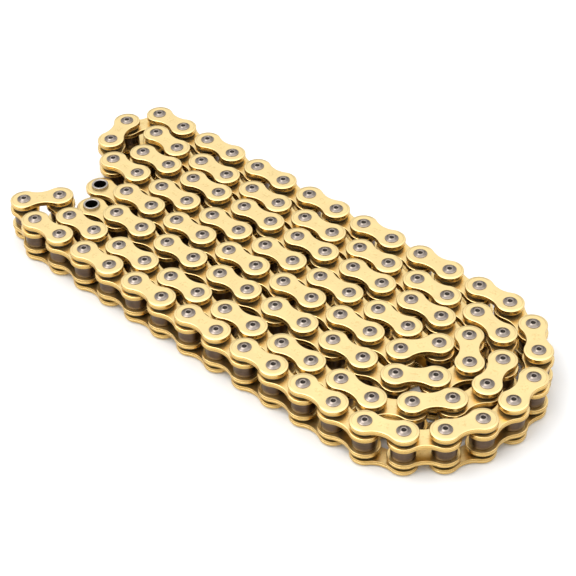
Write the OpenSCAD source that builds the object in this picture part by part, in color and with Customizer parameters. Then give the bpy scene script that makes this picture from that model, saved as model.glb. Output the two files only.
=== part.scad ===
// Motorcycle drive chain, sealed roller type, lying on its side in a folded coil.
// Runs of links lie along X, link pins stand along Z, and the coil rests on its pin ends.

/* [Chain] */
// Distance between neighbouring pin centres
pitch = 15.875; // [15:0.005:20]
// Clear width between the two inner plates of a link
inner_width = 6.35; // [4.5:0.05:10]
// Height of the space between an inner plate and an outer plate, where a seal ring sits
seal_space = 1.7; // [1.4:0.05:2.6]

/* [Plates] */
// Thickness of an inner plate
inner_plate_t = 2.2; // [1.4:0.1:3]
// Thickness of an outer plate
outer_plate_t = 2.2; // [1.4:0.1:3]
// Radius of an inner plate's round ends
inner_end_r = 6.5; // [6:0.05:7.3]
// Half of an inner plate's height at its waist
inner_waist = 4.45; // [3.7:0.05:5.4]
// Radius of an outer plate's round ends
outer_end_r = 6.1; // [5.4:0.05:7.3]
// Half of an outer plate's height at its waist
outer_waist = 4.0; // [3.4:0.05:4.9]

/* [Pins] */
// Radius of a pin
pin_r = 2.6; // [2.1:0.05:3.2]
// How far the riveted head is spread beyond the pin's radius
rivet_spread = 0.35; // [0.1:0.05:0.7]
// Height of a riveted pin end above the outer plate
rivet_h = 0.8; // [0.5:0.05:1.5]
// Width of the slope round the riveted end
rivet_slope = 0.6; // [0.2:0.05:1]
// Height of that slope
rivet_bevel = 0.35; // [0.1:0.05:0.45]
// Radius of the punched dimple in the pin end
dimple_r = 0.95; // [0.4:0.05:1.3]
// Depth of the punched dimple
dimple_depth = 0.5; // [0.2:0.05:1]

/* [Bushes and rollers] */
// Wall thickness of a bush
bush_wall = 1.05; // [0.8:0.05:1.3]
// Chamfer in the mouth of a bush
bush_chamfer = 0.3; // [0.1:0.05:0.5]
// Outer radius of a roller
roller_r = 5.08; // [4.2:0.02:6.2]
// Chamfer on the edges of a roller
roller_chamfer = 0.35; // [0.1:0.05:0.6]

/* [Fits] */
// Radial clearance of a pin in its bush
pin_fit = 0.05; // [0.02:0.01:0.1]
// Radial clearance of a roller on its bush
roller_fit = 0.06; // [0.02:0.01:0.1]
// Clearance at each end of a roller, between the inner plates
roller_side = 0.15; // [0.05:0.05:0.3]
// Radial gap left in the pressed joints of pins and bushes in their plates
press_gap = 0.01; // [0.01:0.005:0.02]
// Clearance between the end of a bush and the outer plate
bush_play = 0.45; // [0.3:0.05:0.8]
// Radial clearance of a seal ring round its bush
seal_fit = 0.12; // [0.05:0.01:0.3]
// Clearance between a seal ring and each of its two plates
seal_play = 0.1; // [0.05:0.05:0.2]

/* [Coil] */
// Least side clearance between the inner plates of neighbouring runs
run_clear = 0.45; // [0.3:0.05:2]
// Turn of the free end link A towards the front of the coil, in degrees
end_a_turn = 7; // [0:1:8]
// Turn of the free end link B towards the front of the coil, in degrees
end_b_turn = 3; // [0:1:5]

/* [Hidden] */
$fn = 64;
seal_fn = 24;

// Runs are numbered 1 to 8 from the front of the coil to the back. Along the chain they come in
// this order, each with its number of links. The first run goes towards +X and each next one back.
run_lane = [4, 5, 8, 1, 2, 7, 6, 3];
run_links = [9, 11, 13, 11, 11, 11, 10, 9];
// Least distance from each run to the one behind it, in pitches, so that the bends keep their shape
run_share = [0.74, 0.948, 0.857, 0.8, 0.856, 0.74, 0.856];
// The bend after each run: how far on it sets the next run, in pitches, and its links' headings in
// degrees from the run that it leaves. The headings are opened or closed until the bend fits.
bends = [
    [0.6, [2, 53, 180]],
    [0.6, [52, 76, 111]],
    [-1.0, [3, 36, 54, 80, 100, 120, 142, 170, 193]],
    [-0.6, [6, 119, 203]],
    [0.0, [30, 47, 70, 106, 130, 172]],
    [-0.4, [3, 117, 183]],
    [-0.5, [4, 50, 107, 143, 174]],
];
// Colours of the gold plates, the bare steel, the dark rollers and the black seals
outer_colour = [0.90, 0.79, 0.52];
inner_colour = [0.84, 0.71, 0.43];
steel_colour = [0.62, 0.58, 0.56];
roller_colour = [0.30, 0.26, 0.24];
seal_colour = [0.10, 0.10, 0.10];
// Halvings in each search, the least and most spread of a bend, and its most turn in degrees
search_steps = 28;
spread_range = [0.1, 2.2];
turn_range = 40;
// Samples along a plate's edge
edge_samples = 40;

pin_half = inner_width / 2 + inner_plate_t + seal_space + outer_plate_t + rivet_h;
inner_face = inner_width / 2;
seal_floor = inner_face + inner_plate_t;
outer_face = seal_floor + seal_space;
bush_half = outer_face - bush_play;
bush_bore_r = pin_r + pin_fit;
bush_r = bush_bore_r + bush_wall;
seal_section = seal_space - 2 * seal_play;

// Plate outline: two end circles joined by waist arcs that are tangent to them
function waist_bow(end_r, waist) =
    (waist * waist + pitch * pitch / 4 - end_r * end_r) / (2 * (end_r - waist));
function tangent_x(end_r, waist) =
    pitch / 2 * waist_bow(end_r, waist) / (end_r + waist_bow(end_r, waist));
function tangent_y(end_r, waist) =
    end_r * (waist + waist_bow(end_r, waist)) / (end_r + waist_bow(end_r, waist));
// Half height of the outline at x, counted from the middle of the plate
function edge_y(end_r, waist, x) =
    let (bow = waist_bow(end_r, waist))
    abs(x) < tangent_x(end_r, waist)
        ? waist + bow - sqrt(bow * bow - x * x)
        : sqrt(end_r * end_r - pow(abs(x) - pitch / 2, 2));
// Half height at any place along an endless straight row of links
function row_y(end_r, waist, x) =
    edge_y(end_r, waist, x - pitch * round(x / pitch));
// Least distance between two such rows that are shifted by part of a pitch
function row_pitch(end_r, waist, shift) =
    max([for (i = [0 : edge_samples])
        let (x = pitch * i / edge_samples)
        row_y(end_r, waist, x) + row_y(end_r, waist, x - pitch * shift)]);

// Direction of each run along X, and its shift in pitches from the first run
function run_dir(i) = i % 2 == 0 ? 1 : -1;
function run_shift(i) = i == 0 ? 0 : run_shift(i - 1) + run_dir(i - 1) * bends[i - 1][0];
function run_of(lane) = [for (i = [0 : len(run_lane) - 1]) if (run_lane[i] == lane) i][0];
function lane_step(lane) =
    let (shift = run_shift(run_of(lane + 1)) - run_shift(run_of(lane)))
    max(
        row_pitch(inner_end_r, inner_waist, shift) + run_clear,
        row_pitch(outer_end_r, outer_waist, shift) + run_clear,
        run_share[lane - 1] * pitch
    );
function lane_y(lane) = lane == 1 ? 0 : lane_y(lane - 1) + lane_step(lane - 1);

// Side way and forward way of a bend whose headings are spread by k and turned by s
function total(v) = v * [for (x = v) 1];
function side_way(dev, k, s) = total([for (a = dev) cos(k * a + s)]);
function forward_way(dev, k, s) = -total([for (a = dev) sin(k * a + s)]);
function find_spread(dev, side, s, low, high, n) =
    let (mid = (low + high) / 2)
    n == 0 ? mid
    : side_way(dev, mid, s) > side ? find_spread(dev, side, s, mid, high, n - 1)
    : find_spread(dev, side, s, low, mid, n - 1);
function spread(dev, side, s) =
    find_spread(dev, side, s, spread_range[0], spread_range[1], search_steps);
function find_turn(dev, side, forward, low, high, n) =
    let (mid = (low + high) / 2)
    n == 0 ? mid
    : forward_way(dev, spread(dev, side, mid), mid) > forward
        ? find_turn(dev, side, forward, mid, high, n - 1)
        : find_turn(dev, side, forward, low, mid, n - 1);

// Link directions of run i and of the bend after it, as unit vectors
function run_steps(i) = [for (j = [1 : run_links[i]]) [run_dir(i), 0]];
function bend_steps(i) =
    let (way = lane_y(run_lane[i + 1]) - lane_y(run_lane[i]),
        dev = [for (a = bends[i][1]) a - 90],
        side = abs(way) / pitch,
        s = find_turn(dev, side, bends[i][0], -turn_range, turn_range, search_steps),
        k = spread(dev, side, s))
    [for (a = dev) [-run_dir(i) * sin(k * a + s), sign(way) * cos(k * a + s)]];
steps = [
    [cos(end_a_turn), sin(end_a_turn)],
    for (i = [0 : len(run_lane) - 1])
        each concat(run_steps(i), i < len(bends) ? bend_steps(i) : []),
    [-cos(end_b_turn), -sin(end_b_turn)],
];
path = [for (
    i = 0, p = [0, 0];
    i <= len(steps);
    p = i < len(steps) ? p + pitch * steps[i] : p, i = i + 1
) p];
path_x = [for (p = path) p[0]];
path_y = [for (p = path) p[1]];
centre = [(min(path_x) + max(path_x)) / 2, (min(path_y) + max(path_y)) / 2];
// Centres of all pins and open bushes, with the coil centred on the origin
pts = [for (p = path) p - centre];
first = 0;
last = len(pts) - 1;

// First point of run i, and the first and last points of the front run
function run_start(i) =
    i == 0 ? first + 1 : run_start(i - 1) + run_links[i - 1] + len(bends[i - 1][1]);
front_first = run_start(run_of(1));
front_last = front_first + run_links[run_of(1)];

// Place children in the frame of link i, between points i and i + 1, at mid height of the chain
module at_link(i) {
    a = pts[i];
    b = pts[i + 1];
    translate([(a[0] + b[0]) / 2, (a[1] + b[1]) / 2, pin_half])
        rotate([0, 0, atan2(b[1] - a[1], b[0] - a[0])])
            children();
}

module at_point(i) {
    translate([pts[i][0], pts[i][1], pin_half])
        children();
}

module plate(end_r, waist, thick, hole_r) {
    bow = waist_bow(end_r, waist);
    linear_extrude(thick)
        difference() {
            union() {
                for (side = [-1, 1])
                    translate([side * pitch / 2, 0])
                        circle(r = end_r);
                difference() {
                    square([2 * tangent_x(end_r, waist), 2 * tangent_y(end_r, waist)], center = true);
                    for (side = [-1, 1])
                        translate([0, side * (waist + bow)])
                            circle(r = bow);
                }
            }
            for (side = [-1, 1])
                translate([side * pitch / 2, 0])
                    circle(r = hole_r);
        }
}

module inner_plate(i, up) {
    at_link(i)
        translate([0, 0, up ? inner_face : -seal_floor])
            plate(inner_end_r, inner_waist, inner_plate_t, bush_r + press_gap);
}

module outer_plate(i, up) {
    at_link(i)
        translate([0, 0, up ? outer_face : -outer_face - outer_plate_t])
            plate(outer_end_r, outer_waist, outer_plate_t, pin_r + press_gap);
}

module pin(i) {
    neck = outer_face + outer_plate_t;
    head_r = pin_r + rivet_spread;
    top_r = head_r - rivet_slope;
    half_outline = [
        [head_r, neck], [head_r, pin_half - rivet_bevel], [top_r, pin_half],
        [dimple_r, pin_half], [0, pin_half - dimple_depth],
    ];
    at_point(i)
        rotate_extrude()
            polygon([
                each [for (j = [len(half_outline) - 1 : -1 : 0]) [half_outline[j][0], -half_outline[j][1]]],
                [pin_r, -neck],
                [pin_r, neck],
                each half_outline,
            ]);
}

module bush(i) {
    lip = bush_bore_r + bush_chamfer;
    at_point(i)
        rotate_extrude()
            polygon([
                [lip, -bush_half], [bush_r, -bush_half], [bush_r, bush_half], [lip, bush_half],
                [bush_bore_r, bush_half - bush_chamfer], [bush_bore_r, bush_chamfer - bush_half],
            ]);
}

module roller(i) {
    half = inner_width / 2 - roller_side;
    bore = bush_r + roller_fit;
    shoulder = roller_r - roller_chamfer;
    at_point(i)
        rotate_extrude()
            polygon([
                [bore, -half], [shoulder, -half], [roller_r, roller_chamfer - half],
                [roller_r, half - roller_chamfer], [shoulder, half], [bore, half],
            ]);
}

module seal(i, up) {
    at_point(i)
        translate([0, 0, (up ? 1 : -1) * (seal_floor + seal_space / 2)])
            rotate_extrude()
                translate([bush_r + seal_fit + seal_section / 2, 0])
                    circle(d = seal_section, $fn = seal_fn);
}

// Link i lies between points i and i + 1. Even links are inner links and odd ones outer links.
// Both free ends are inner links, and each of them and the outer link next to it turns on its pin:
// end A is links first and first + 1, and end B is links last - 1 and last - 2.
end_links = 2;
coil_first = first + end_links;
coil_last = last - end_links;

module outer_plates_upper() {
    color(outer_colour)
        for (i = [coil_first + 1 : 2 : coil_last - 1])
            outer_plate(i, true);
}

module outer_plates_lower() {
    color(outer_colour)
        for (i = [coil_first + 1 : 2 : coil_last - 1])
            outer_plate(i, false);
}

module inner_plates_upper() {
    color(inner_colour)
        for (i = [coil_first : 2 : coil_last - 1])
            inner_plate(i, true);
}

module inner_plates_lower() {
    color(inner_colour)
        for (i = [coil_first : 2 : coil_last - 1])
            inner_plate(i, false);
}

module pins() {
    color(steel_colour)
        for (i = [coil_first + 1 : coil_last - 1])
            pin(i);
}

module bushes() {
    color(steel_colour)
        for (i = [coil_first : coil_last])
            bush(i);
}

module rollers() {
    color(roller_colour)
        for (i = [coil_first : coil_last])
            if (i < front_first || i > front_last)
                roller(i);
}

module seals_upper() {
    color(seal_colour)
        for (i = [coil_first + 1 : coil_last - 1])
            seal(i, true);
}

module seals_lower() {
    color(seal_colour)
        for (i = [coil_first + 1 : coil_last - 1])
            seal(i, false);
}

// Rollers of the front run, counted from its right end
module front_roller(n) {
    color(roller_colour)
        roller(front_first + n - 1);
}

// Pieces of the two free ends; i is a link and j a point
module end_outer_plate(i, up) {
    color(outer_colour)
        outer_plate(i, up);
}

module end_inner_plate(i, up) {
    color(inner_colour)
        inner_plate(i, up);
}

module end_pins(i) {
    color(steel_colour)
        for (j = [i, i + 1])
            pin(j);
}

module end_seals(i) {
    color(seal_colour)
        for (j = [i, i + 1], up = [true, false])
            seal(j, up);
}

module end_bush(j) {
    color(steel_colour)
        bush(j);
}

module end_roller(j) {
    color(roller_colour)
        roller(j);
}

outer_plates_upper();
outer_plates_lower();
inner_plates_upper();
inner_plates_lower();
pins();
bushes();
rollers();
seals_upper();
seals_lower();
end_outer_plate(first + 1, true);  // end_a_outer_plate_upper
end_outer_plate(first + 1, false);  // end_a_outer_plate_lower
end_pins(first + 1);  // end_a_pins
end_seals(first + 1);  // end_a_seals
end_inner_plate(first, true);  // end_a_inner_plate_upper
end_inner_plate(first, false);  // end_a_inner_plate_lower
end_bush(first);  // end_a_bush_open
end_bush(first + 1);  // end_a_bush_pinned
end_roller(first);  // end_a_roller_open
end_roller(first + 1);  // end_a_roller_pinned
end_outer_plate(last - 2, true);  // end_b_outer_plate_upper
end_outer_plate(last - 2, false);  // end_b_outer_plate_lower
end_pins(last - 2);  // end_b_pins
end_seals(last - 2);  // end_b_seals
end_inner_plate(last - 1, true);  // end_b_inner_plate_upper
end_inner_plate(last - 1, false);  // end_b_inner_plate_lower
end_bush(last);  // end_b_bush_open
end_bush(last - 1);  // end_b_bush_pinned
end_roller(last);  // end_b_roller_open
end_roller(last - 1);  // end_b_roller_pinned
front_roller(1);  // front_roller_01
front_roller(2);  // front_roller_02
front_roller(3);  // front_roller_03
front_roller(4);  // front_roller_04
front_roller(5);  // front_roller_05
front_roller(6);  // front_roller_06
front_roller(7);  // front_roller_07
front_roller(8);  // front_roller_08
front_roller(9);  // front_roller_09
front_roller(10);  // front_roller_10
front_roller(11);  // front_roller_11
front_roller(12);  // front_roller_12
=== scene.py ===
"""Sealed motorcycle drive chain in a folded coil, built round the frame of its own CAD model."""

import math

import bpy
import numpy as np
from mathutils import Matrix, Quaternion, Vector


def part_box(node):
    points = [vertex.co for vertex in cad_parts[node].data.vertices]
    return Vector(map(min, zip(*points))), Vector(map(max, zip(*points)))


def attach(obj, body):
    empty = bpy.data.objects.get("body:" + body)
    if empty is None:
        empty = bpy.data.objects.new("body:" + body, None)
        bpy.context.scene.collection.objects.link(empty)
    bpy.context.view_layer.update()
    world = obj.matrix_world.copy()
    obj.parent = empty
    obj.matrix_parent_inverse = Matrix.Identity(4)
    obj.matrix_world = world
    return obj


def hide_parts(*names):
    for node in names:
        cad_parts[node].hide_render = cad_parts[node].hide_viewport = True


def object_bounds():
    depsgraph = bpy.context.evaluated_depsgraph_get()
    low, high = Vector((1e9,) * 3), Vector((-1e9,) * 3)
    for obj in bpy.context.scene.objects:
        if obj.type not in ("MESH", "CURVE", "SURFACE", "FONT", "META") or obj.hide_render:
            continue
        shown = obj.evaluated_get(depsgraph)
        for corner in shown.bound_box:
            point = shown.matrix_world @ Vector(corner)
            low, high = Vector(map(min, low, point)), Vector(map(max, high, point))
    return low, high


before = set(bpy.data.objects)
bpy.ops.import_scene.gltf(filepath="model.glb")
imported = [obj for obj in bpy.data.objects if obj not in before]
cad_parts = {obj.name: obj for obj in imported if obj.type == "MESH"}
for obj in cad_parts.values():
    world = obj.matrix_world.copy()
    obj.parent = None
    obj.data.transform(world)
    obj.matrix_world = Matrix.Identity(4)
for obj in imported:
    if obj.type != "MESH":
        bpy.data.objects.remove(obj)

bl_info = {
    "name": "Sealed Roller Chain",
    "version": (1, 0, 0),
    "blender": (4, 5, 0),
    "location": "3D View > Sidebar > Chain",
    "description": "Plates, pins, bushes, rollers and seal rings of a coiled motorcycle chain",
    "category": "Add Mesh",
}

MM = 0.001
CAD_BOX = [list(corner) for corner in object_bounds()]
# Two tops of pins are further apart than this, and one top is narrower
TOP_GAP = 5.6 * MM
# Heights closer than this are the same
SAME_HEIGHT = 0.001 * MM
# Points beyond this share of a round top's radius are on its rim
RIM_SHARE = 0.93
# How far two neighbouring centres may be from one pitch
PITCH_ERROR = 0.002 * MM
# Edges that turn more than this are sharp
SHARP_TURN = math.radians(40)
# Link numbers times this, without the whole part, are spread evenly from 0 to 1
SPREAD = 0.6180339
# How far the noise shifts along each axis from one copy to another, in bumps
NOISE_SHIFT = (71.0, 37.0, 53.0)


# ---------------------------------------------------------------- sizes and colours


def length(name, description, millimetres, **limits):
    """A size in millimetres as a length property."""
    return bpy.props.FloatProperty(
        name=name,
        description=description,
        default=millimetres * MM,
        min=0.0,
        unit="LENGTH",
        precision=5,
        **limits,
    )


def colour(name, description, value):
    """A colour property, in linear red, green and blue."""
    return bpy.props.FloatVectorProperty(
        name=name, description=description, default=value, subtype="COLOR", size=3, min=0.0, max=1.0
    )


def share(name, description, value):
    """A property from 0 to 1."""
    return bpy.props.FloatProperty(
        name=name, description=description, default=value, min=0.0, max=1.0, subtype="FACTOR"
    )


class ChainSizes(bpy.types.PropertyGroup):
    """Sizes of the chain's pieces beyond those that the frame gives."""

    outer_end_r: length("Outer plate end", "Radius of an outer plate's round ends", 6.1)
    outer_waist: length("Outer plate waist", "Half of an outer plate's height at its waist", 4.0)
    inner_end_r: length("Inner plate end", "Radius of an inner plate's round ends", 6.5)
    inner_waist: length("Inner plate waist", "Half of an inner plate's height at its waist", 4.45)
    rolled_edge: length("Rolled edge", "Radius of the rounded outer edge of every plate", 0.36)
    shear_line: length("Shear line", "Depth of the line round the side of a blanked plate", 0.07)
    coined_edge: length("Coined edge", "Width of the band pressed a little lower round the plate ends", 0.95)
    coined_drop: length("Coined drop", "How much lower that band is at the rolled edge", 0.14)
    pin_r: length("Pin", "Radius of a pin", 2.6)
    head_r: length("Pin head", "Radius of a riveted pin end", 2.95)
    punch_r: length("Punch rim", "Radius of the raised rim round the punched dimple", 1.5)
    dimple_r: length("Dimple", "Radius of the punched dimple in a pin end", 1.0)
    dimple_depth: length("Dimple depth", "Depth of the punched dimple", 0.5)
    bore_r: length("Bush bore", "Radius of the bore of a bush", 2.65)
    bush_r: length("Bush", "Outer radius of a bush", 3.7)
    roller_r: length("Roller", "Outer radius of a roller", 5.08)
    roller_bore: length("Roller bore", "Radius of the bore of a roller", 3.76)
    press_gap: length("Press gap", "Gap left round what is pressed into a plate", 0.01)


class ChainColours(bpy.types.PropertyGroup):
    """Colours and gloss of the chain's finishes."""

    outer_gold: colour("Outer plates", "Gold of the outer plates' faces", (0.975, 0.755, 0.365))
    inner_gold: colour("Inner plates", "Gold of the inner plates' faces", (0.95, 0.72, 0.33))
    # Deeper gold: painted shade on every sideways-facing plate surface and in the coined groove; also
    # colours the rougher lower band of the sides and the smudges
    shade_and_smudge_gold: colour("Plate edges", "Deeper gold of the punched edges", (0.70, 0.45, 0.135))
    # Near-black brown for painted shade: in the shear groove of the sides, in greasy patches round the pin
    # heads and bushes, and at the base of each pin head
    grime_and_shade: colour("Grime", "Dried oil in the corners of the plates", (0.10, 0.055, 0.02))
    pin_steel: colour("Pins", "Bare steel of the riveted pin ends", (0.29, 0.245, 0.21))
    bush_steel: colour("Bushes", "Bare steel of the bushes", (0.44, 0.40, 0.36))
    roller_steel: colour("Rollers", "Heat-treated steel of the rollers", (0.115, 0.078, 0.054))
    seal_rubber: colour("Seals", "Black rubber of the seal rings", (0.012, 0.011, 0.010))
    seal_bloom: colour("Seal bloom", "Rubber under a bloom of grease", (0.035, 0.030, 0.024))
    dimple_dark: colour("Dimples", "Dark floor of the punched dimples", (0.022, 0.018, 0.015))
    bore_dark: colour("Bores", "Bores of the bushes, dark with grease", (0.012, 0.010, 0.009))
    floor: colour("Floor", "Pale floor that the chain lies on", (0.86, 0.86, 0.86))
    face_gloss: share("Face roughness", "Roughness of the plates' faces", 0.30)
    edge_gloss: share("Edge roughness", "Roughness of the plates' punched edges", 0.26)


# ---------------------------------------------------------------- where everything is


def corners_of(node):
    """The vertices of a CAD node, in metres."""
    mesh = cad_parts[node].data
    flat = np.empty(len(mesh.vertices) * 3, np.float32)
    mesh.vertices.foreach_get("co", flat)
    return flat.reshape(-1, 3).astype(float)


def circle_centre(points):
    """Centre of the outermost circle among points on circles about one centre."""
    middle = (points.min(0) + points.max(0)) / 2
    reach = np.hypot(*(points - middle).T)
    rim = points[reach > RIM_SHARE * reach.max()] - middle
    facts = np.c_[2 * rim, np.ones(len(rim))]
    return middle + np.linalg.lstsq(facts, (rim**2).sum(1), rcond=None)[0][:2]


def top_centres(node, gap=math.inf):
    """Centres of a node's round tops, where one top is narrower than gap. Without a gap it has one top."""
    corners = corners_of(node)
    left = corners[corners[:, 2] > corners[:, 2].max() - SAME_HEIGHT][:, :2]
    centres = []
    while len(left):
        near = np.hypot(*(left - left[0]).T) < gap
        centres.append(circle_centre(left[near]))
        left = left[~near]
    return centres


def walk_chain():
    """
    Centres of the pins and of the two open bushes, in order from free end A to free end B.

    Pins of neighbouring runs can also be one pitch apart, so the next centre is the one straightest ahead.
    """
    ends = [top_centres(f"end_{end}_bush_open")[0] for end in "ab"]
    second = top_centres("end_a_bush_pinned")[0]
    left = [c for node in ("end_a_pins", "pins", "end_b_pins") for c in top_centres(node, TOP_GAP)]
    left.append(ends[1])
    pitch = math.dist(ends[0], second)
    path = [ends[0], left.pop(int(np.argmin([math.dist(second, c) for c in left])))]
    while left:
        ahead = path[-1] - path[-2]
        near = [i for i, c in enumerate(left) if abs(math.dist(path[-1], c) - pitch) < PITCH_ERROR]
        if not near:
            raise RuntimeError(f"the chain breaks after centre {len(path) - 1}")
        path.append(left.pop(max(near, key=lambda i: ahead @ (left[i] - path[-1]))))
    return path, math.dist(path[1], path[2])


CENTRES, PITCH = walk_chain()
LAST = len(CENTRES) - 1
COIL_FIRST, COIL_LAST = 2, LAST - 2
MID = (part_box("pins")[0].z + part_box("pins")[1].z) / 2
PIN_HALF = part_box("pins")[1].z - MID
BUSH_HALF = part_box("bushes")[1].z - MID
ROLLER_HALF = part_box("rollers")[1].z - MID
INNER_FLOOR, INNER_TOP = (corner.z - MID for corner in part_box("inner_plates_upper"))
OUTER_FLOOR, OUTER_TOP = (corner.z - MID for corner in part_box("outer_plates_upper"))
SEAL_LOW, SEAL_HIGH = (corner.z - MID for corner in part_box("seals_upper"))


def stretches():
    """Number of the stretch that each link is in. A new stretch starts where the chain turns back."""
    numbers, number, way = [], 1, 1
    for a, b in zip(CENTRES, CENTRES[1:]):
        ahead = 1 if b[0] > a[0] else -1
        number += ahead != way
        way = ahead
        numbers.append(number)
    return numbers


STRETCHES = stretches()


def link_place(i, upper=True):
    """Middle, turn and side of the plate of link i, and its number."""
    a, b = CENTRES[i], CENTRES[i + 1]
    return (a + b) / 2, math.atan2(b[1] - a[1], b[0] - a[0]), upper, i


def point_place(i, upper=True):
    """Centre, turn and side of a round piece at point i, and its number."""
    a, b = CENTRES[max(i - 1, 0)], CENTRES[min(i + 1, LAST)]
    return CENTRES[i], math.atan2(b[1] - a[1], b[0] - a[0]), upper, i


# ---------------------------------------------------------------- meshes


class Shape:
    """Points and faces of one piece at mid height, and for each point a share from 0 to 1 of scuffing and
    painted glint.
    """

    def __init__(self):
        self.points, self.worn, self.faces = [], [], []

    def loop(self, flat, heights, worn=0.0):
        """Adds a closed loop of points, each at its own height, and gives their numbers."""
        start = len(self.points)
        self.points += [(x, y, z) for (x, y), z in zip(flat, heights)]
        self.worn += [worn] * len(flat)
        return list(range(start, len(self.points)))

    def ring(self, flat, z, worn=0.0):
        """Adds a closed loop of points at one height, and gives their numbers."""
        return self.loop(flat, [z] * len(flat), worn)

    def band(self, upper, lower):
        """Faces between two rings, with their outside to the right of the rings' way."""
        count = len(upper)
        for i in range(count):
            j = (i + 1) % count
            self.faces.append((upper[i], lower[i], lower[j], upper[j]))


def eight(end_r, waist, per_end, per_side):
    """Points and outward normals of a plate's outline, anticlockwise: round ends joined by waist arcs."""
    bow = (waist**2 + PITCH**2 / 4 - end_r**2) / (2 * (end_r - waist))
    meet = math.atan2(waist + bow, -PITCH / 2)
    points, normals = [], []
    for side in (1, -1):
        for a in np.linspace(-meet, meet, per_end, endpoint=False):
            way = side * np.array([math.cos(a), math.sin(a)])
            points.append(side * np.array([PITCH / 2, 0]) + end_r * way)
            normals.append(way)
        for a in np.linspace(meet - math.pi, -meet, per_side, endpoint=False):
            way = side * np.array([math.cos(a), math.sin(a)])
            points.append(side * np.array([0, waist + bow]) + bow * way)
            normals.append(-way)
    return np.array(points), np.array(normals), meet


# Points of a plate's outline round each end and along each waist, and of a hole on the side of the waist
PER_END, PER_SIDE, PER_BACK = 34, 16, 10
# Points round each turned piece, and round the section of a seal ring
PIN_POINTS, BUSH_POINTS, OPEN_BUSH_POINTS, ROLLER_POINTS = 40, 32, 64, 44
SEAL_POINTS, SECTION_POINTS = 40, 16


def plate_shape(sizes, end_r, waist, low, high, hole_r):
    """A blanked plate: rolled edge above, a shear line round the side, and a rougher band below it."""
    points, normals, meet = eight(end_r, waist, PER_END, PER_SIDE)
    thick, roll, line = high - low, sizes.rolled_edge, sizes.shear_line
    split = low + 0.44 * thick
    profile = [
        (0.55 * roll, high - 0.10 * roll, 0.8),
        (0.22 * roll, high - 0.36 * roll, 1.0),
        (0.04 * roll, high - 0.72 * roll, 0.8),
        (0.0, high - 1.15 * roll, 0.2),
        (0.0, split + 0.6 * line, 0.0),
        (0.9 * line, split, 0.0),
        (0.35 * line, split - 0.9 * line, 0.3),
        (0.6 * line, low + 0.55 * roll, 0.0),
        (1.1 * line, low + 0.18 * roll, 0.5),
        (0.6 * roll, low, 0.4),
        (1.2 * roll, low, 0.0),
    ]
    shape = Shape()
    ends = np.clip((abs(points[:, 0]) - PITCH / 2 + 2.6 * MM) / (3.2 * MM), 0, 1)
    ends = ends * ends * (3 - 2 * ends)
    drop = sizes.coined_drop * ends
    coined = [
        (1.60 * roll, sizes.coined_edge + 0.60 * roll, 0.0, 0.0),
        (1.45 * roll, sizes.coined_edge + 0.30 * roll, 0.0, 0.0),
        (1.30 * roll, sizes.coined_edge, 0.35, 0.0),
        (1.15 * roll, 1.40 * roll, 0.80, 0.0),
        (roll, roll, 1.0, 0.25),
    ]
    rings = []
    for at_waist, at_end, share_down, worn in coined:
        inset = at_waist + (at_end - at_waist) * ends
        rings.append(shape.loop(points - inset[:, None] * normals, high - share_down * drop, worn))
    for inset, z, worn in profile:
        down = drop * max(0.0, (z - split) / (high - split))
        rings.append(shape.loop(points - inset * normals, z - down, worn))
    for above, below in zip(rings, rings[1:]):
        shape.band(above, below)
    bevel = 0.25 * roll
    holes = {1: [], -1: []}
    ahead = np.linspace(-meet, meet, PER_END, endpoint=False)
    back = np.linspace(meet, 2 * math.pi - meet, PER_BACK, endpoint=False)
    for side in (1, -1):
        way = side * np.array([(math.cos(a), math.sin(a)) for a in (*ahead, *back)])
        centre = side * np.array([PITCH / 2, 0])
        for grow, z in ((bevel, high), (0, high - bevel), (0, low + bevel), (bevel, low)):
            holes[side].append(shape.ring(centre + (hole_r + grow) * way, z))
        for above, below in zip(holes[side], holes[side][1:]):
            shape.band(below, above)
    half = PER_END + PER_SIDE
    for level, turn in ((0, 1), (-1, -1)):
        edge = rings[level]
        for side, start in ((1, 0), (-1, half)):
            hole = holes[side][level]
            for i in range(PER_END):
                quad = [edge[start + i], edge[start + i + 1], hole[i + 1], hole[i]]
                shape.faces.append(tuple(quad[::turn]))
        shape.faces.append(tuple(eight_middle(edge, holes, level, half)[::turn]))
    return shape


def eight_middle(edge, holes, level, half):
    """The face between a plate's two holes, as one outline, anticlockwise."""
    right, left = holes[1][level], holes[-1][level]
    top = edge[PER_END : half + 1]
    bottom = edge[half + PER_END :] + edge[:1]
    return top + [left[0], *left[:PER_END - 1 : -1]] + bottom + [right[0], *right[:PER_END - 1 : -1]]


def turned_shape(profile, count):
    """A turned piece, from its outline as (radius, height, share of scuffing and glint), top to bottom. A
    radius of 0 closes it.
    """
    shape = Shape()
    way = np.array([(math.cos(a), math.sin(a)) for a in np.linspace(0, 2 * math.pi, count, endpoint=False)])
    rings = []
    for radius, z, worn in profile:
        rings.append(shape.ring(radius * way if radius else way[:1] * 0, z, worn))
    for above, below in zip(rings, rings[1:]):
        if len(above) == 1:
            shape.faces += [(above[0], below[i], below[(i + 1) % count]) for i in range(count)]
        elif len(below) == 1:
            shape.faces += [(above[i], below[0], above[(i + 1) % count]) for i in range(count)]
        else:
            shape.band(above, below)
    if len(rings[0]) > 1:
        shape.band(rings[-1], rings[0])
    return shape


def mirrored_below(profile):
    """A half outline for the upper half, and the same below it."""
    return profile + [(radius, -z, worn) for radius, z, worn in reversed(profile)]


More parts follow.
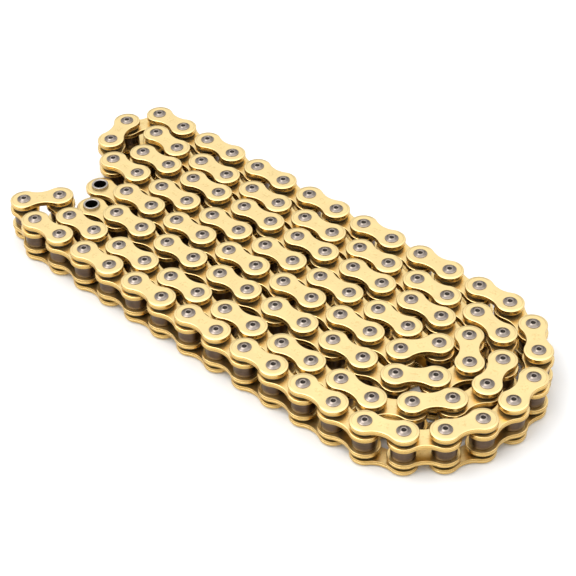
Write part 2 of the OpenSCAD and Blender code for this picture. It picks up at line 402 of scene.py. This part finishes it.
def pin_shape(sizes):
    """A riveted pin: both ends are spread, slope up to a punched rim, and have a dimple."""
    top, head, punch, dimple = PIN_HALF, sizes.head_r, sizes.punch_r, sizes.dimple_r
    depth, neck = sizes.dimple_depth, OUTER_TOP
    lift = top - neck
    half = [
        (0.0, top - depth, 0.0),
        (0.38 * dimple, top - 0.97 * depth, 0.0),
        (0.72 * dimple, top - 0.72 * depth, 0.0),
        (0.93 * dimple, top - 0.25 * depth, 0.3),
        (1.06 * dimple, top - 0.04 * depth, 1.0),
        (0.5 * (1.06 * dimple + punch), top, 1.0),
        (punch, top - 0.04 * lift, 0.9),
        (punch + 0.08 * (head - punch), top - 0.16 * lift, 0.2),
        (punch + 0.38 * (head - punch), top - 0.38 * lift, 0.0),
        (punch + 0.70 * (head - punch), top - 0.60 * lift, 0.1),
        (punch + 0.88 * (head - punch), top - 0.70 * lift, 0.8),
        (head, top - 0.80 * lift, 1.0),
        (head, top - 0.90 * lift, 0.0),
        (0.97 * head, neck, 0.0),
        (sizes.pin_r, neck, 0.0),
    ]
    return turned_shape(mirrored_below(half), PIN_POINTS)


def bush_shape(sizes, count):
    """A bush with a countersunk mouth and a rounded outer edge at both ends."""
    top, bore, outer = BUSH_HALF, sizes.bore_r, sizes.bush_r
    half = [
        (bore, top - 0.45 * MM, 0.0),
        (bore + 0.06 * MM, top - 0.30 * MM, 0.3),
        (bore + 0.20 * MM, top - 0.11 * MM, 0.9),
        (bore + 0.34 * MM, top - 0.02 * MM, 1.0),
        (bore + 0.45 * MM, top, 0.6),
        (outer - 0.22 * MM, top, 0.6),
        (outer - 0.09 * MM, top - 0.05 * MM, 1.0),
        (outer, top - 0.18 * MM, 0.7),
        (outer, top - 0.5 * MM, 0.0),
    ]
    return turned_shape(mirrored_below(half), count)


def roller_shape(sizes):
    """A roller with slightly crowned sides and rounded rims."""
    half, bore, outer = ROLLER_HALF, sizes.roller_bore, sizes.roller_r
    upper = [
        (bore, half - 0.12 * MM, 0.0),
        (bore + 0.12 * MM, half, 0.3),
        (outer - 0.42 * MM, half, 0.3),
        (outer - 0.20 * MM, half - 0.06 * MM, 1.0),
        (outer - 0.06 * MM, half - 0.20 * MM, 1.0),
        (outer - 0.015 * MM, half - 0.42 * MM, 0.5),
        (outer, 0.45 * half, 0.0),
    ]
    return turned_shape(mirrored_below(upper), ROLLER_POINTS)


def seal_shape():
    """A lobed seal ring, a little narrower at the waist of its section than a round one."""
    middle, section = (SEAL_LOW + SEAL_HIGH) / 2, SEAL_HIGH - SEAL_LOW
    reach = seal_reach() - section / 2
    profile = []
    for a in np.linspace(0, 2 * math.pi, SECTION_POINTS, endpoint=False):
        lobe = section / 2 * (1 - 0.10 * (1 - abs(math.sin(2 * a))) * (abs(math.cos(a)) > 0.7))
        profile.append((reach + lobe * math.cos(a), middle - lobe * math.sin(a), 0.0))
    return turned_shape(profile, SEAL_POINTS)


def seal_reach():
    """Outer radius of a seal ring, from the top of its ring round the first pin."""
    corners = corners_of("end_a_seals")
    span = np.hypot(*(corners[:, :2] - CENTRES[1]).T)
    return span[span < PITCH / 2].max()


def make_piece(name, shape, places, finish, body, node):
    """One object with a copy of the shape at each place, for one CAD node and riding on its body."""
    old = bpy.data.objects.get(name)
    if old:
        bpy.data.objects.remove(old)
    base = np.array(shape.points)
    count = len(base)
    points, faces = [], []
    for step, (centre, angle, upper, number) in enumerate(places):
        sine, cosine = math.sin(angle), math.cos(angle)
        x, y, z = base.T
        flip = 1 if upper else -1
        points.append(
            np.c_[centre[0] + x * cosine - y * sine, centre[1] + x * sine + y * cosine, MID + flip * z]
        )
        first = step * count
        faces += [tuple(first + i for i in face[::flip]) for face in shape.faces]
    mesh = bpy.data.meshes.new(name)
    mesh.from_pydata(np.concatenate(points).tolist(), [], faces)
    mesh.attributes.new("own_place", "FLOAT_VECTOR", "POINT").data.foreach_set(
        "vector", np.tile(base, (len(places), 1)).ravel()
    )
    mesh.attributes.new("own_scuff_and_glint", "FLOAT", "POINT").data.foreach_set(
        "value", np.tile(shape.worn, len(places))
    )
    numbers = np.array([number for *_, number in places])
    mesh.attributes.new("own_number", "FLOAT", "POINT").data.foreach_set(
        "value", np.repeat(numbers * SPREAD % 1, count)
    )
    mesh.polygons.foreach_set("use_smooth", [True] * len(mesh.polygons))
    mesh.set_sharp_from_angle(angle=SHARP_TURN)
    mesh.materials.append(finish)
    piece = bpy.data.objects.new(name, mesh)
    bpy.context.scene.collection.objects.link(piece)
    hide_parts(node)
    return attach(piece, body)


# ---------------------------------------------------------------- finishes


class Value:
    """A number that varies over a surface; arithmetic on it adds Math nodes."""

    def __init__(self, finish, socket):
        self.finish, self.socket = finish, socket

    def maths(self, operation, *values, clamp=False):
        """One Math node on these values."""
        node = self.finish.node(
            "ShaderNodeMath", {"operation": operation, "use_clamp": clamp}, dict(enumerate(values))
        )
        return Value(self.finish, node.outputs[0])

    def __add__(self, other):
        return self.maths("ADD", self, other)

    def __sub__(self, other):
        return self.maths("SUBTRACT", self, other)

    def __rsub__(self, other):
        return self.maths("SUBTRACT", other, self)

    def __mul__(self, other):
        return self.maths("MULTIPLY", self, other)

    def __truediv__(self, other):
        return self.maths("DIVIDE", self, other)

    def __pow__(self, other):
        return self.maths("POWER", self, other)

    def __abs__(self):
        return self.maths("ABSOLUTE", self)

    __radd__, __rmul__ = __add__, __mul__

    def ramp(self, low, high):
        """0 below low and 1 above high, smooth between; the other way round where low is above high."""
        node = self.finish.node(
            "ShaderNodeMapRange",
            {"interpolation_type": "SMOOTHSTEP"},
            {0: self, 1: min(low, high), 2: max(low, high)},
        )
        rising = Value(self.finish, node.outputs[0])
        return rising if low < high else 1 - rising


class Finish:
    """A node tree with the ways to add to it; a material's Principled shader is its shader."""

    def __init__(self, owner, tree, shader):
        self.owner, self.tree, self.shader = owner, tree, shader

    @classmethod
    def material(cls, name, **plain):
        """A new material of this name, with these values set all over."""
        owner = bpy.data.materials.get(name) or bpy.data.materials.new(name)
        owner.use_nodes = True
        owner.node_tree.nodes.clear()
        made = cls(owner, owner.node_tree, None)
        made.shader = made.node("ShaderNodeBsdfPrincipled", {}, {})
        made.node("ShaderNodeOutputMaterial", {}, {"Surface": made.shader.outputs[0]})
        for socket, value in plain.items():
            made.shader.inputs[socket.replace("_", " ")].default_value = value
        return made

    def node(self, kind, settings, inputs):
        """A node of this type with its settings, and the values or links of its inputs."""
        node = self.tree.nodes.new(kind)
        for setting, value in settings.items():
            setattr(node, setting, value)
        for socket, value in inputs.items():
            self.feed(node.inputs[socket], value)
        return node

    def feed(self, socket, value):
        """Links a value to an input, or sets it."""
        if isinstance(value, Value):
            value = value.socket
        if isinstance(value, bpy.types.NodeSocket):
            self.tree.links.new(value, socket)
        else:
            socket.default_value = value

    def own(self, name):
        """A number that the mesh keeps for each point."""
        return Value(self, self.node("ShaderNodeAttribute", {"attribute_name": name}, {}).outputs["Fac"])

    def place(self):
        """The place in the piece's own frame, as a vector."""
        return self.node("ShaderNodeAttribute", {"attribute_name": "own_place"}, {}).outputs["Vector"]

    def parts(self, vector):
        """The three numbers of a vector."""
        return [Value(self, part) for part in self.node("ShaderNodeSeparateXYZ", {}, {0: vector}).outputs]

    def facing_up(self):
        """How far the surface faces up or down: 1 on faces and 0 on sides."""
        return abs(self.parts(self.node("ShaderNodeNewGeometry", {}, {}).outputs["Normal"])[2])

    def noise(self, vector, stretch, number, detail=3.0):
        """Noise of this many bumps a metre each way, different on each copy, around 0.5."""
        shift = self.node(
            "ShaderNodeCombineXYZ", {}, {axis: number * far for axis, far in enumerate(NOISE_SHIFT)}
        )
        scaled = self.node(
            "ShaderNodeVectorMath",
            {"operation": "MULTIPLY_ADD"},
            {0: vector, 1: stretch, 2: shift.outputs[0]},
        )
        node = self.node(
            "ShaderNodeTexNoise", {}, {"Vector": scaled.outputs[0], "Scale": 1.0, "Detail": detail}
        )
        return Value(self, node.outputs[0])

    def mix(self, factor, a, b, mode="MIX"):
        """Colour a where the factor is 0 and b where it is 1."""
        node = self.node(
            "ShaderNodeMix",
            {"data_type": "RGBA", "blend_type": mode, "clamp_factor": True},
            {0: factor, 6: a, 7: b},
        )
        return node.outputs[2]

    def bump(self, height, distance):
        """Gives the surface this height, from 0 to 1 of the distance."""
        node = self.node("ShaderNodeBump", {}, {"Distance": distance, "Height": height})
        self.feed(self.shader.inputs["Normal"], node.outputs[0])


def opaque(rgb, light=1.0):
    """A colour property as the four numbers of a colour socket, lighter or darker."""
    return (*(min(1.0, part * light) for part in rgb), 1.0)


def gold_finish(name, colours, sizes, face, low, high, end_r, rim_r):
    """Gold-coated steel plate: satin faces, glossy punched edges darkened with painted shade, painted shade
    in greasy patches round the pins, rolled edges lighter with scuffing and a painted glint.
    """
    made = Finish.material(name, Metallic=1.0)
    vector = made.place()
    x, y, z = made.parts(vector)
    number, scuff_and_glint = made.own("own_number"), made.own("own_scuff_and_glint")
    side = made.facing_up().ramp(0.92, 0.45)
    from_pin = ((abs(x) - PITCH / 2) ** 2 + y**2) ** 0.5
    cloud = made.noise(vector, (160, 160, 160), number)
    grain = made.noise(vector, (2600, 2600, 2600), number, 2.0)
    hairs = made.noise(vector, (350, 5200, 350), number, 2.0)
    streaks = made.noise(vector, (900, 900, 90), number, 3.0)
    band = side * z.ramp(low + 0.46 * (high - low), low + 0.40 * (high - low))
    line = side * (1 - abs(z - (low + 0.43 * (high - low))).ramp(0.02 * MM, 0.09 * MM))
    outward = abs(x).ramp(PITCH / 2 - 2.2 * MM, PITCH / 2 + 0.6 * MM)
    coined = end_r - sizes.coined_edge - 0.3 * sizes.rolled_edge
    ring = (1 - abs(from_pin - coined).ramp(0.05 * MM, 0.17 * MM)) * outward * (1 - side)
    smudge = abs(x).ramp(3.4 * MM, 1.2 * MM) * abs(y).ramp(2.3 * MM, 0.9 * MM) * (1 - side)
    smudge = smudge * made.noise(vector, (900, 900, 900), number, 2.0).ramp(0.46, 0.66)
    oil_and_shade = from_pin.ramp(rim_r + 0.55 * MM, rim_r) * (1 - side) * cloud.ramp(0.25, 0.6)
    tone = made.mix(cloud.ramp(0.3, 0.75), opaque(face, 0.965), opaque(face, 1.03))
    tone = made.mix(number * 0.35, tone, opaque(face, 0.95))
    # Sideways-facing surfaces take the deeper gold: painted shade on the plate sides
    tone = made.mix(side * (0.75 + 0.2 * streaks), tone, opaque(colours.shade_and_smudge_gold))
    tone = made.mix(band * 0.38, tone, opaque(colours.shade_and_smudge_gold, 0.62))
    # Dark line along the shear groove of the sides: painted shade in the groove
    tone = made.mix(line * 0.75, tone, opaque(colours.grime_and_shade))
    # Coined ring line darker: painted shade in the coined groove
    tone = made.mix(ring * 0.45, tone, opaque(colours.shade_and_smudge_gold, 0.8))
    tone = made.mix(smudge * 0.28, tone, opaque(colours.shade_and_smudge_gold, 0.75))
    # Patchy dark ring round each pin head and bush: painted shade where it meets the plate, in greasy
    # patches that also raise the roughness
    tone = made.mix(oil_and_shade * 0.30, tone, opaque(colours.grime_and_shade))
    # Tops lighter along the rolled edges: scuffing and a painted glint
    tone = made.mix(scuff_and_glint * (1 - side) * 0.25, tone, opaque(face, 1.08))
    made.feed(made.shader.inputs["Base Color"], tone)
    rough = colours.face_gloss + 0.10 * (cloud - 0.5) + 0.06 * (grain - 0.5)
    rough = rough + side * (colours.edge_gloss - colours.face_gloss)
    rough = rough + band * 0.20 + oil_and_shade * 0.08 + smudge * 0.10
    made.feed(made.shader.inputs["Roughness"], rough)
    height = 0.35 * grain + 0.20 * hairs + side * 0.5 * streaks - ring * 0.9 - smudge * 0.5
    made.bump(height, 0.018 * MM)
    return made.owner


def pin_finish(colours, sizes):
    """Bare steel pin end: turning marks, a dark dimple, rims lighter with a painted highlight and scuffing,
    and painted shade at the base of the head.
    """
    made = Finish.material("bare_pin_steel", Metallic=1.0)
    vector = made.place()
    x, y, z = made.parts(vector)
    number, scuff_and_glint = made.own("own_number"), made.own("own_scuff_and_glint")
    reach = (x**2 + y**2) ** 0.5
    cloud = made.noise(vector, (420, 420, 420), number)
    rings = made.noise(
        made.node("ShaderNodeCombineXYZ", {}, {0: reach, 1: z}).outputs[0], (4200, 1600, 1), number, 2.0
    )
    dimple = reach.ramp(1.10 * sizes.dimple_r, 0.90 * sizes.dimple_r)
    slope = reach.ramp(sizes.punch_r, 1.08 * sizes.punch_r)
    slope = slope * reach.ramp(0.95 * sizes.head_r, 0.80 * sizes.head_r)
    foot_shade = reach.ramp(0.93 * sizes.head_r, sizes.head_r) * abs(z).ramp(OUTER_TOP + 0.4 * MM, OUTER_TOP)
    steel = colours.pin_steel
    tone = made.mix(cloud.ramp(0.3, 0.7), opaque(steel, 0.80), opaque(steel, 1.08))
    tone = made.mix(rings.ramp(0.35, 0.65) * 0.35, tone, opaque(steel, 0.62))
    tone = made.mix(slope * 0.15, tone, opaque(steel, 0.55))
    # Rims much lighter: painted highlight on the punched rim and the head's edge, with some scuffing
    tone = made.mix(scuff_and_glint * 0.5, tone, opaque(steel, 1.6))
    tone = made.mix(dimple * 0.92, tone, opaque(colours.dimple_dark))
    # Dark band at the base of each pin head, where it meets the plate: painted contact shadow
    tone = made.mix(foot_shade * 0.75, tone, opaque(colours.grime_and_shade))
    made.feed(made.shader.inputs["Base Color"], tone)
    made.feed(made.shader.inputs["Roughness"], 0.24 + 0.12 * (cloud - 0.4) + dimple * 0.3 - scuff_and_glint * 0.04)
    made.bump(0.6 * rings + 0.4 * made.noise(vector, (3000, 3000, 3000), number, 2.0), 0.012 * MM)
    return made.owner


def bush_finish(colours, sizes):
    """Ground steel bush with a bright mouth and a bore dark with grease."""
    made = Finish.material("ground_bush_steel", Metallic=1.0)
    vector = made.place()
    x, y, _ = made.parts(vector)
    number, scuff_and_glint = made.own("own_number"), made.own("own_scuff_and_glint")
    reach = (x**2 + y**2) ** 0.5
    cloud = made.noise(vector, (500, 500, 500), number)
    bore = reach.ramp(sizes.bore_r + 0.16 * MM, sizes.bore_r + 0.03 * MM)
    steel = colours.bush_steel
    tone = made.mix(cloud.ramp(0.3, 0.7), opaque(steel, 0.78), opaque(steel, 1.05))
    tone = made.mix(scuff_and_glint * 0.4, tone, opaque(steel, 1.35))
    tone = made.mix(bore, tone, opaque(colours.bore_dark))
    made.feed(made.shader.inputs["Base Color"], tone)
    made.feed(made.shader.inputs["Roughness"], 0.28 + 0.14 * (cloud - 0.5) + bore * 0.4)
    made.bump(made.noise(vector, (3000, 3000, 900), number, 2.0), 0.012 * MM)
    return made.owner


def roller_finish(colours):
    """Dark heat-treated roller with fine turning lines round it and a film of oil."""
    made = Finish.material("dark_roller_steel", Metallic=1.0)
    vector = made.place()
    number, scuff_and_glint = made.own("own_number"), made.own("own_scuff_and_glint")
    cloud = made.noise(vector, (260, 260, 260), number)
    lines = made.noise(vector, (90, 90, 4200), number, 3.0)
    broad = made.noise(vector, (60, 60, 1100), number, 2.0)
    steel = colours.roller_steel
    tone = made.mix(cloud.ramp(0.3, 0.7), opaque(steel, 0.78), opaque(steel, 1.2))
    tone = made.mix(lines.ramp(0.4, 0.65) * 0.45, tone, opaque(steel, 0.55))
    tone = made.mix(broad.ramp(0.5, 0.72) * 0.4, tone, opaque(steel, 1.55))
    tone = made.mix(scuff_and_glint * 0.35, tone, opaque(colours.bush_steel, 0.75))
    made.feed(made.shader.inputs["Base Color"], tone)
    made.feed(made.shader.inputs["Roughness"], 0.36 + 0.14 * (lines - 0.5) + 0.10 * (cloud - 0.5))
    made.bump(0.7 * lines + 0.3 * broad, 0.02 * MM)
    return made.owner


def seal_finish(colours):
    """Black rubber with a faint bloom of grease."""
    made = Finish.material("seal_rubber", Metallic=0.0, Specular_IOR_Level=0.5)
    vector, number = made.place(), made.own("own_number")
    cloud = made.noise(vector, (500, 500, 500), number)
    tone = made.mix(cloud.ramp(0.4, 0.7), opaque(colours.seal_rubber), opaque(colours.seal_bloom))
    made.feed(made.shader.inputs["Base Color"], tone)
    made.feed(made.shader.inputs["Roughness"], 0.38 + 0.25 * (cloud - 0.4))
    made.bump(made.noise(vector, (2400, 2400, 2400), number, 2.0), 0.01 * MM)
    return made.owner


# ---------------------------------------------------------------- operators


class PieceOperator:
    """What every operator of the chain shares."""

    bl_options = {"REGISTER", "UNDO"}

    def by_stretch(self, name, shape, place, numbers, finish, slot):
        """A coil node as one piece for each stretch of chain."""
        for stretch in range(1, STRETCHES[-1] + 1):
            places = [place(i) for i in numbers if STRETCHES[min(i, LAST - 1)] == stretch]
            make_piece(f"{name}_{stretch}", shape, places, finish, "coil", name)

    def plates(self, kind, shape, finish, links, end_links):
        """The upper and lower plates of one kind of link, along the coil and at both free ends."""
        for side in ("upper", "lower"):
            places = {link: link_place(link, side == "upper") for link in (*links, *end_links)}
            self.by_stretch(f"{kind}_plates_{side}", shape, places.get, links, finish, f"gold_{kind}")
            for end, link in zip("ab", end_links):
                node, body = f"end_{end}_{kind}_plate_{side}", f"end_{end}_{kind}_link"
                make_piece(f"{node}_look", shape, [places[link]], finish, body, node)


class CHAIN_OT_outer_plates(PieceOperator, bpy.types.Operator):
    """Add the outer plates, which hold the pins"""

    bl_idname = "chain.outer_plates"
    bl_label = "Outer plates"

    def execute(self, context):
        sizes, colours = context.scene.chain_sizes, context.scene.chain_colours
        finish = gold_finish(
            "pale_gold_plate", colours, sizes, colours.outer_gold, OUTER_FLOOR, OUTER_TOP,
            sizes.outer_end_r, sizes.head_r,
        )
        shape = plate_shape(
            sizes, sizes.outer_end_r, sizes.outer_waist, OUTER_FLOOR, OUTER_TOP,
            sizes.pin_r + sizes.press_gap,
        )
        end_links = (1, LAST - 2)
        self.plates("outer", shape, finish, range(COIL_FIRST + 1, COIL_LAST, 2), end_links)
        return {"FINISHED"}


class CHAIN_OT_inner_plates(PieceOperator, bpy.types.Operator):
    """Add the inner plates, which hold the bushes"""

    bl_idname = "chain.inner_plates"
    bl_label = "Inner plates"

    def execute(self, context):
        sizes, colours = context.scene.chain_sizes, context.scene.chain_colours
        finish = gold_finish(
            "deep_gold_plate", colours, sizes, colours.inner_gold, INNER_FLOOR, INNER_TOP,
            sizes.inner_end_r, sizes.bush_r,
        )
        shape = plate_shape(
            sizes, sizes.inner_end_r, sizes.inner_waist, INNER_FLOOR, INNER_TOP,
            sizes.bush_r + sizes.press_gap,
        )
        end_links = (0, LAST - 1)
        self.plates("inner", shape, finish, range(COIL_FIRST, COIL_LAST, 2), end_links)
        return {"FINISHED"}


class CHAIN_OT_pins(PieceOperator, bpy.types.Operator):
    """Add the riveted pins"""

    bl_idname = "chain.pins"
    bl_label = "Pins"

    def execute(self, context):
        sizes, colours = context.scene.chain_sizes, context.scene.chain_colours
        finish, shape = pin_finish(colours, sizes), pin_shape(sizes)
        numbers = range(COIL_FIRST + 1, COIL_LAST)
        self.by_stretch("pins", shape, point_place, numbers, finish, "pin_steel")
        for end, points in (("a", (1, 2)), ("b", (LAST - 2, LAST - 1))):
            node = f"end_{end}_pins"
            places = [point_place(i) for i in points]
            make_piece(f"{node}_look", shape, places, finish, f"end_{end}_outer_link", node)
        return {"FINISHED"}


class CHAIN_OT_bushes(PieceOperator, bpy.types.Operator):
    """Add the bushes, two of them open at the free ends"""

    bl_idname = "chain.bushes"
    bl_label = "Bushes"

    def execute(self, context):
        sizes, colours = context.scene.chain_sizes, context.scene.chain_colours
        finish, shape = bush_finish(colours, sizes), bush_shape(sizes, BUSH_POINTS)
        places = [point_place(i) for i in range(COIL_FIRST, COIL_LAST + 1)]
        make_piece("bushes_look", shape, places, finish, "coil", "bushes")
        shape = bush_shape(sizes, OPEN_BUSH_POINTS)
        for end, free, pinned in (("a", 0, 1), ("b", LAST, LAST - 1)):
            for kind, point in (("open", free), ("pinned", pinned)):
                node = f"end_{end}_bush_{kind}"
                places = [point_place(point)]
                make_piece(f"{node}_look", shape, places, finish, f"end_{end}_inner_link", node)
        return {"FINISHED"}


class CHAIN_OT_rollers(PieceOperator, bpy.types.Operator):
    """Add the rollers, of which those of the ends and of the front run turn"""

    bl_idname = "chain.rollers"
    bl_label = "Rollers"

    def execute(self, context):
        sizes, colours = context.scene.chain_sizes, context.scene.chain_colours
        finish, shape = roller_finish(colours), roller_shape(sizes)
        singles = {}
        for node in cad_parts:
            if node.startswith(("front_roller_", "end_a_roller_", "end_b_roller_")):
                low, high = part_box(node)
                middle = ((low.x + high.x) / 2, (low.y + high.y) / 2)
                singles[int(np.argmin([math.dist(middle, c) for c in CENTRES]))] = node
        rest = [point_place(i) for i in range(LAST + 1) if i not in singles]
        make_piece("rollers_look", shape, rest, finish, "coil", "rollers")
        for point, node in sorted(singles.items()):
            make_piece(
                f"{node}_look", shape, [point_place(point)], finish, f"{node}_body", node
            )
        return {"FINISHED"}


class CHAIN_OT_seals(PieceOperator, bpy.types.Operator):
    """Add the seal rings between the plates"""

    bl_idname = "chain.seals"
    bl_label = "Seal rings"

    def execute(self, context):
        colours = context.scene.chain_colours
        finish, shape = seal_finish(colours), seal_shape()
        for side in ("upper", "lower"):
            places = [point_place(i, side == "upper") for i in range(COIL_FIRST + 1, COIL_LAST)]
            node = f"seals_{side}"
            make_piece(f"{node}_look", shape, places, finish, "coil", node)
        for end, points in (("a", (1, 2)), ("b", (LAST - 2, LAST - 1))):
            node = f"end_{end}_seals"
            places = [point_place(i, upper) for i in points for upper in (True, False)]
            make_piece(f"{node}_look", shape, places, finish, f"end_{end}_outer_link", node)
        return {"FINISHED"}


class CHAIN_OT_stage(bpy.types.Operator):
    """Add the floor, the soft studio light and the camera"""

    bl_idname = "chain.stage"
    bl_label = "Stage"

    def execute(self, context):
        scene = context.scene
        add_floor(scene)
        add_light(scene)
        add_camera(scene)
        return {"FINISHED"}


def add_floor(scene):
    """A wide pale floor."""
    mesh = bpy.data.meshes.new("pale_floor")
    half = scene.chain_stage.floor_size / 2
    corners = [(-half, -half, 0), (half, -half, 0), (half, half, 0), (-half, half, 0)]
    mesh.from_pydata(corners, [], [(0, 1, 2, 3)])
    made = Finish.material("pale_floor", Roughness=0.9, Base_Color=opaque(scene.chain_colours.floor))
    mesh.materials.append(made.owner)
    floor = bpy.data.objects.new("pale_floor", mesh)
    scene.collection.objects.link(floor)


def add_light(scene):
    """A bright sky that is darker towards the horizon, and one broad soft light above."""
    stage = scene.chain_stage
    world = bpy.data.worlds.new("studio")
    scene.world = world
    world.use_nodes = True
    world.node_tree.nodes.clear()
    made = Finish(world, world.node_tree, None)
    way = made.node("ShaderNodeTexCoord", {}, {}).outputs["Generated"]
    height = made.parts(way)[2]
    strength = stage.horizon + (stage.sky - stage.horizon) * height.ramp(0.05, 0.48)
    strength = strength + (stage.zenith - stage.sky) * height.ramp(0.70, 0.92)
    sky = made.node("ShaderNodeBackground", {}, {"Color": (1, 1, 1, 1), "Strength": strength})
    made.node("ShaderNodeOutputWorld", {}, {"Surface": sky.outputs[0]})
    data = bpy.data.lights.new("overhead_softbox", "AREA")
    data.shape, data.energy = "RECTANGLE", stage.softbox
    data.size, data.size_y = stage.softbox_length, stage.softbox_width
    light = bpy.data.objects.new("overhead_softbox", data)
    light.location = stage.softbox_place
    light.rotation_mode = "QUATERNION"
    light.rotation_quaternion = (-light.location).to_track_quat("-Z", "Y")
    scene.collection.objects.link(light)
    scene.view_settings.view_transform = "Standard"


def add_camera(scene):
    """The camera, above the front right corner of the coil."""
    stage = scene.chain_stage
    data = bpy.data.cameras.new("camera")
    data.sensor_width, data.lens = 36.0, stage.lens
    data.clip_start, data.clip_end = 0.01, 50.0
    camera = bpy.data.objects.new("camera", data)
    low, high = (Vector(corner) for corner in CAD_BOX)
    aim = (low + high) / 2 + Vector((stage.aim_right, -stage.aim_front, 0))
    aim.z = high.z
    az, el = stage.azimuth, stage.elevation
    back = Vector((math.sin(az) * math.cos(el), -math.cos(az) * math.cos(el), math.sin(el)))
    camera.location = aim + back * stage.distance
    camera.rotation_mode = "QUATERNION"
    camera.rotation_quaternion = (-back).to_track_quat("-Z", "Y") @ Quaternion((0, 0, 1), stage.roll)
    scene.collection.objects.link(camera)
    scene.camera = camera


class ChainStage(bpy.types.PropertyGroup):
    """Light and camera of the stage."""

    azimuth: bpy.props.FloatProperty(
        name="Azimuth", description="Way the camera stands, round from the front",
        default=math.radians(43.55), subtype="ANGLE", unit="ROTATION",
    )
    elevation: bpy.props.FloatProperty(
        name="Elevation", description="Height of the camera above the horizon",
        default=math.radians(40.51), subtype="ANGLE", unit="ROTATION",
    )
    roll: bpy.props.FloatProperty(
        name="Roll", description="Turn of the camera about its own view", default=math.radians(-1.648),
        subtype="ANGLE", unit="ROTATION",
    )
    lens: bpy.props.FloatProperty(
        name="Lens", description="Focal length of the camera in millimetres", default=111.18, min=1.0
    )
    aim_right: length("Aim to the right", "Point aimed at, right of the coil's middle", 14.67)
    aim_front: length("Aim to the front", "Point aimed at, in front of the coil's middle", 8.22)
    distance: bpy.props.FloatProperty(
        name="Distance", description="Distance of the camera from the top of the coil", default=0.7411,
        min=0.3, unit="LENGTH",
    )
    sky: bpy.props.FloatProperty(
        name="Sky", description="Brightness of the sky overhead", default=1.0, min=0.0
    )
    zenith: bpy.props.FloatProperty(
        name="Zenith", description="Brightness of the sky straight above", default=1.9, min=0.0
    )
    horizon: bpy.props.FloatProperty(
        name="Horizon", description="Brightness of the sky at the horizon", default=0.22, min=0.0
    )
    softbox: bpy.props.FloatProperty(
        name="Softbox", description="Power of the light above", default=8.0, min=0.0, unit="POWER"
    )
    softbox_length: length("Softbox length", "Longer side of the light above", 1200)
    softbox_width: length("Softbox width", "Shorter side of the light above", 800)
    softbox_place: bpy.props.FloatVectorProperty(
        name="Softbox place", description="Where the light above hangs, turned to the coil",
        default=(-0.35, -0.55, 1.3), subtype="TRANSLATION", unit="LENGTH",
    )
    floor_size: bpy.props.FloatProperty(
        name="Floor", description="Length of each side of the floor", default=12.0, min=1.0, unit="LENGTH"
    )


OPERATORS = (
    CHAIN_OT_outer_plates,
    CHAIN_OT_inner_plates,
    CHAIN_OT_pins,
    CHAIN_OT_bushes,
    CHAIN_OT_rollers,
    CHAIN_OT_seals,
    CHAIN_OT_stage,
)
GROUPS = {"chain_sizes": ChainSizes, "chain_colours": ChainColours, "chain_stage": ChainStage}


class CHAIN_PT_panel(bpy.types.Panel):
    """The chain's pieces and its sizes, in the sidebar"""

    bl_label = "Chain"
    bl_space_type = "VIEW_3D"
    bl_region_type = "UI"
    bl_category = "Chain"

    def draw(self, context):
        for operator in OPERATORS:
            self.layout.operator(operator.bl_idname)
        for group in GROUPS:
            box = self.layout.box()
            for name in GROUPS[group].__annotations__:
                box.prop(getattr(context.scene, group), name)


def register():
    for made in (*GROUPS.values(), *OPERATORS, CHAIN_PT_panel):
        bpy.utils.register_class(made)
    for name, group in GROUPS.items():
        setattr(bpy.types.Scene, name, bpy.props.PointerProperty(type=group))


def unregister():
    for name in GROUPS:
        delattr(bpy.types.Scene, name)
    for made in (CHAIN_PT_panel, *reversed(OPERATORS), *GROUPS.values()):
        bpy.utils.unregister_class(made)


def main():
    """Builds the chain and its stage."""
    register()
    bpy.ops.chain.outer_plates()
    bpy.ops.chain.inner_plates()
    bpy.ops.chain.pins()
    bpy.ops.chain.bushes()
    bpy.ops.chain.rollers()
    bpy.ops.chain.seals()
    bpy.ops.chain.stage()


if __name__ == "__main__":
    main()
